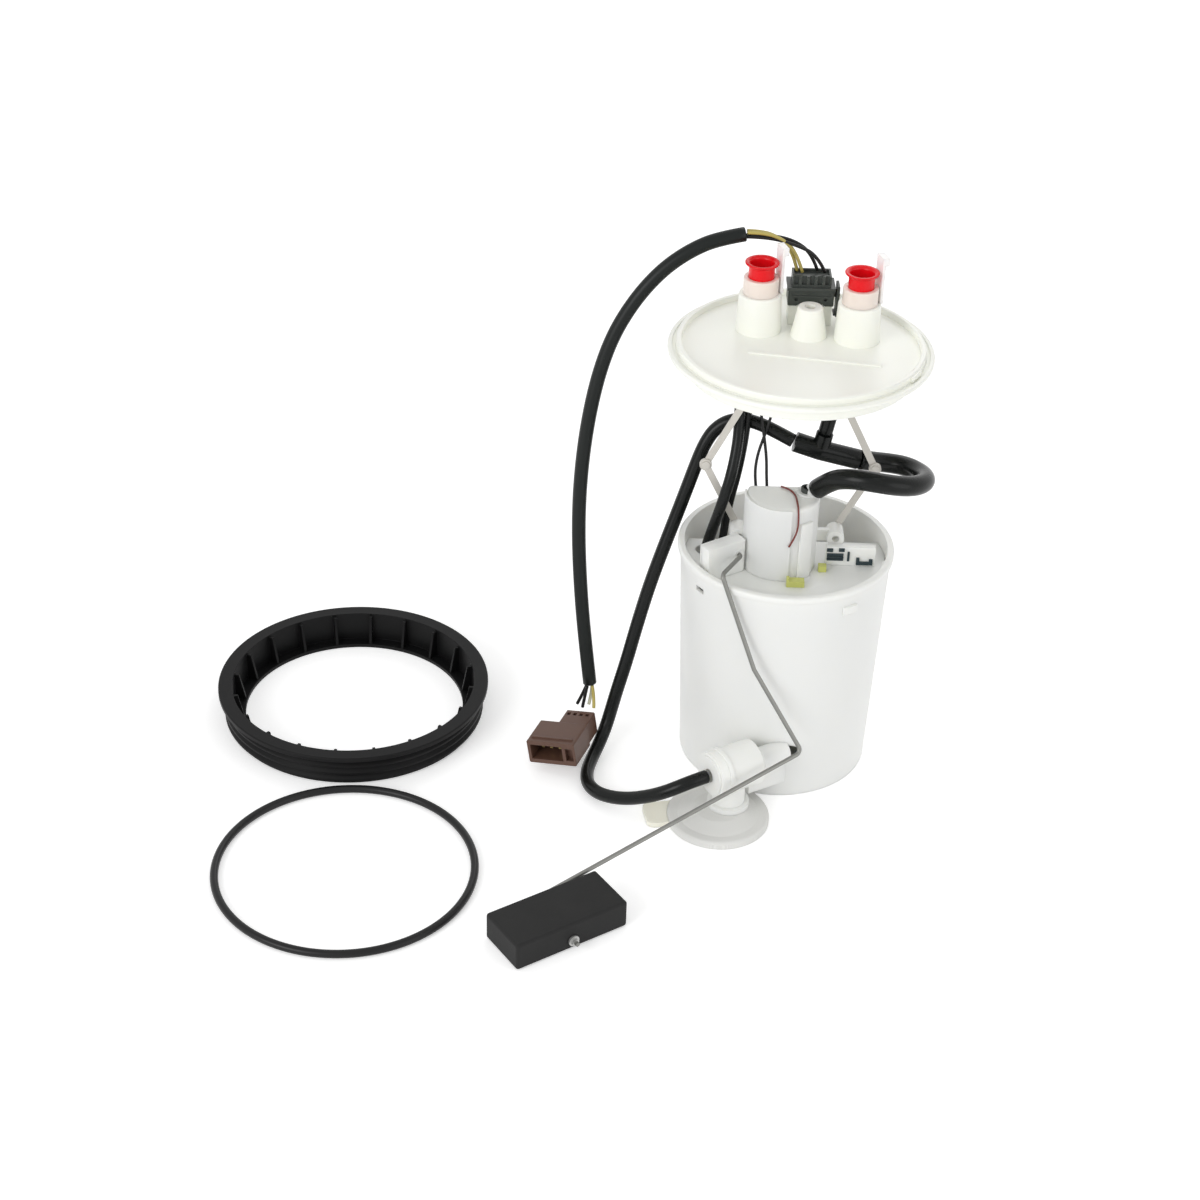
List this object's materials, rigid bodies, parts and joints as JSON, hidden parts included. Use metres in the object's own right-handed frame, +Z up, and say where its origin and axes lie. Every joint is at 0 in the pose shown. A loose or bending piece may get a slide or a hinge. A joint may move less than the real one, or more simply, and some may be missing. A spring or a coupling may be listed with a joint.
{
  "type": "electric fuel pump",
  "caption": "In-tank fuel pump module: pump in a white reservoir cup, sprung tank flange with capped ports, hoses, float level sender, wired plugs, lock ring and seal ring.",
  "frame": {"origin": "centre of the cup's base, on the floor it stands on", "axes": "+Z up along the cup and flange axis, -Y towards the float and jet pump, -X towards the harness plug"},
  "size_m": [0.3809, 0.2907, 0.2915],
  "materials": {
    "cup_white": "translucent white moulded plastic, satin",
    "flange_cream": "cream white moulded plastic, satin",
    "collar_pink": "translucent pinkish plastic",
    "red_plastic": "glossy red soft plastic",
    "grey_plastic": "grey moulded plastic",
    "brown_plastic": "brown moulded plastic",
    "hose_black": "glossy black rubber",
    "sleeve_black": "satin black sleeve",
    "seal_black": "satin black rubber",
    "lock_black": "satin black glass filled plastic",
    "float_black": "matte dark grey foam",
    "steel_wire": "drawn steel wire",
    "strap_beige": "flat beige strap",
    "steel": "plated steel",
    "iron": "laminated iron",
    "magnet": "ferrite",
    "copper": "enamelled copper",
    "brass": "tinned brass",
    "carbon": "pressed carbon",
    "filter_white": "woven white mesh",
    "tab_yellow": "pale yellow plastic",
    "contact_yellow": "yellow green plastic",
    "card_blue": "dark ceramic",
    "wire_yellow": "ochre insulation",
    "wire_black": "black insulation",
    "wire_red": "red brown insulation"
  },
  "bodies": {
    "module": {"reservoir_cup": "cup_white", "reservoir_deck": "cup_white", "pump_holder": "cup_white", "holder_cover": "cup_white", "pump_housing": "steel", "inlet_cover": "grey_plastic", "outlet_cover": "grey_plastic", "outlet_spout": "cup_white", "magnets": "magnet", "brushes": "carbon", "inlet_strainer": "filter_white", "jet_pump_body": "cup_white", "jet_nozzle": "brass", "foot_filter": "filter_white", "filter_tab": "tab_yellow", "sender_body": "cup_white", "sender_cover": "cup_white", "resistor_card": "card_blue", "contacts": "contact_yellow", "terminal_box": "cup_white", "terminal_strips": "card_blue", "hose_tee": "hose_black", "tee_riser": "hose_black", "suction_hose": "hose_black", "loop_hose": "hose_black", "return_tube": "hose_black", "vent_tube": "hose_black", "pump_leads": "wire_black", "red_wire": "wire_red", "harness_sleeve": "sleeve_black", "low_wires": "wire_yellow", "brown_plug": "brown_plastic", "brown_terminals": "brass"},
    "flange": {"flange": "flange_cream", "port_collar_left": "collar_pink", "port_collar_right": "collar_pink", "latch_fingers": "collar_pink", "plug_socket": "flange_cream", "socket_pins": "brass", "grey_plug": "grey_plastic", "top_wires": "wire_yellow"},
    "rotor": {"armature": "iron", "windings": "copper", "commutator": "copper", "motor_shaft": "steel", "impeller": "grey_plastic"},
    "valve": {"check_valve": "brass"},
    "latch": {"plug_latch": "grey_plastic"},
    "cap_left": {"port_cap_left": "red_plastic"},
    "cap_right": {"port_cap_right": "red_plastic"},
    "arm_low_left": {"lower_arm_left": "strap_beige"},
    "arm_low_right": {"lower_arm_right": "strap_beige"},
    "arm_up_left": {"upper_arm_left": "strap_beige"},
    "arm_up_right": {"upper_arm_right": "strap_beige"},
    "sender_arm": {"float_arm": "steel_wire", "wiper": "brass", "push_nut": "steel"},
    "float": {"float": "float_black"},
    "lock_ring": {"lock_ring": "lock_black"},
    "seal_ring": {"seal_ring": "seal_black"}
  },
  "joints": [
    {"name": "flange_slide", "type": "slide", "parent": "module", "child": "flange", "axis": [0, 0, 1], "range_m": [-0.02, 0], "stiffness_N_per_m": 160, "springref_m": 0.025, "deforming": ["tee_riser", "return_tube", "vent_tube", "pump_leads", "harness_sleeve"]},
    {"name": "arm_swing_left", "type": "hinge", "parent": "module", "child": "arm_low_left", "pos_m": [-0.0254, 0.008, 0.132], "axis": [0, -1, 0], "range_deg": [0, 25.8]},
    {"name": "arm_swing_right", "type": "hinge", "parent": "module", "child": "arm_low_right", "pos_m": [0.0254, 0.008, 0.132], "axis": [0, 1, 0], "range_deg": [0, 25.8]},
    {"name": "knee_left", "type": "hinge", "parent": "arm_low_left", "child": "arm_up_left", "pos_m": [-0.0438, 0.008, 0.1685], "axis": [0, -1, 0], "range_deg": [-39, 0]},
    {"name": "knee_right", "type": "hinge", "parent": "arm_low_right", "child": "arm_up_right", "pos_m": [0.0438, 0.008, 0.1685], "axis": [0, 1, 0], "range_deg": [-39, 0]},
    {"name": "float_arm_pivot", "type": "hinge", "parent": "module", "child": "sender_arm", "pos_m": [-0.0245, -0.02, 0.1306], "axis": [-0.5591, 0.8291, 0], "range_deg": [0, 70]},
    {"name": "float_swivel", "type": "hinge", "parent": "sender_arm", "child": "float", "pos_m": [-0.1136, -0.1662, 0.0056], "axis": [-0.5591, 0.8291, 0], "range_deg": [-70, 0]},
    {"name": "rotor_spin", "type": "hinge", "parent": "module", "child": "rotor", "pos_m": [-0.0037, -0.006, 0.09], "axis": [0, 0, 1], "continuous": true},
    {"name": "valve_lift", "type": "slide", "parent": "module", "child": "valve", "axis": [0, 0, 1], "range_m": [0, 0.0015], "stiffness_N_per_m": 20},
    {"name": "cap_pull_left", "type": "slide", "parent": "flange", "child": "cap_left", "axis": [0, 0, 1], "range_m": [0, 0.024]},
    {"name": "cap_pull_right", "type": "slide", "parent": "flange", "child": "cap_right", "axis": [0, 0, 1], "range_m": [0, 0.024]},
    {"name": "latch_press", "type": "hinge", "parent": "flange", "child": "latch", "pos_m": [0.01915, 0.031, 0.2566], "axis": [0, -1, 0], "range_deg": [0, 7], "stiffness_Nm_per_rad": 0.02},
    {"name": "lock_ring_lift", "type": "slide", "parent": "module", "child": "lock_ring", "axis": [0, 0, 1], "range_m": [0, 0.05]},
    {"name": "seal_ring_lift", "type": "slide", "parent": "module", "child": "seal_ring", "axis": [0, 0, 1], "range_m": [0, 0.05]}
  ],
  "couplings": [
    {"joint": "arm_swing_left", "follows": "flange_slide", "rad_per_m": -21.657},
    {"joint": "arm_swing_right", "follows": "flange_slide", "rad_per_m": -21.657},
    {"joint": "knee_left", "follows": "flange_slide", "rad_per_m": 33.14},
    {"joint": "knee_right", "follows": "flange_slide", "rad_per_m": 33.14},
    {"joint": "float_swivel", "follows": "float_arm_pivot", "ratio": -1}
  ]
}
